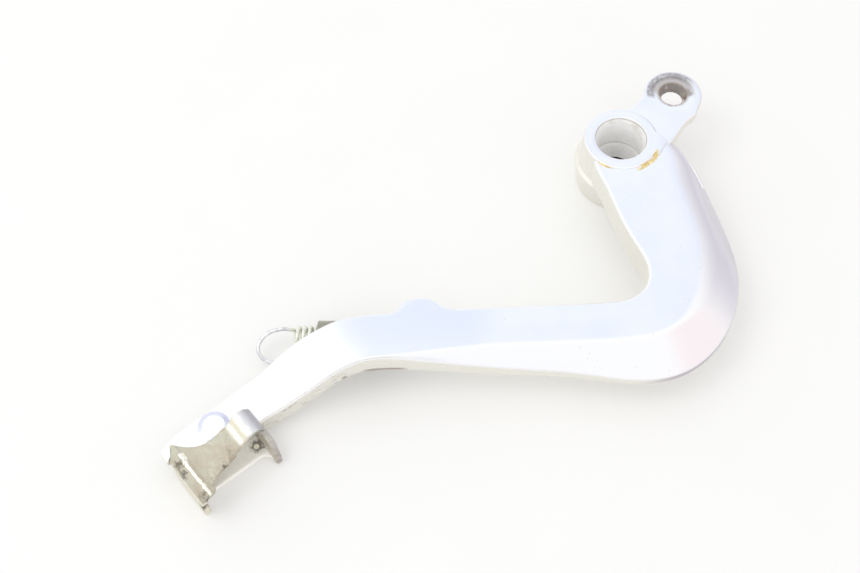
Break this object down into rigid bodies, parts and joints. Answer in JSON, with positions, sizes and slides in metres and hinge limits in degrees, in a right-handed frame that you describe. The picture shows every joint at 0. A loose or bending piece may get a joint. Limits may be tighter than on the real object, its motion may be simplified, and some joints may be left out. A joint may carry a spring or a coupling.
{
  "type": "rear brake pedal lever",
  "caption": "Curved cast foot pedal lever with a bushed pivot boss, a clevis lug, a folded steel toe cleat and a sleeved return spring hooked on its inner side.",
  "frame": {"origin": "middle of the overall plan outline, at the level of the inner (frame side) faces the pedal lies on", "axes": "+Z along the pivot axis towards the outer side of the motorcycle, +X from the toe cleat towards the pivot end, +Y from the bend towards the clevis lug"},
  "size_m": [0.2168, 0.1852, 0.028],
  "materials": {
    "polished_aluminium": "cast and polished outside, as-forged on the sides",
    "bush_metal": "worn and greasy",
    "seal_rubber": "matte black",
    "plated_steel": "zinc plated and rusting",
    "rivet_metal": "smooth",
    "zinc_steel": "zinc plated",
    "sleeve_rubber": "matte, dusty"
  },
  "bodies": {
    "pedal": {"lever_arm": "polished_aluminium", "outer_pivot_bush": "bush_metal", "inner_pivot_bush": "bush_metal", "inner_dust_seal": "seal_rubber", "toe_cleat": "plated_steel", "toe_rivet": "rivet_metal", "spring_anchor_pin": "zinc_steel"},
    "spring": {"return_spring": "zinc_steel", "spring_sleeve": "sleeve_rubber"},
    "hook": {"spring_free_hook": "zinc_steel"}
  },
  "joints": [
    {"name": "spring_swing", "type": "hinge", "parent": "pedal", "child": "spring", "pos_m": [-0.01498, -0.02279, 0.0069], "axis": [0, 0, 1], "range_deg": [-75, 1]},
    {"name": "spring_stretch", "type": "slide", "parent": "spring", "child": "hook", "axis": [-1, 0, 0], "range_m": [0, 0.012], "deforming": ["return_spring"]}
  ]
}
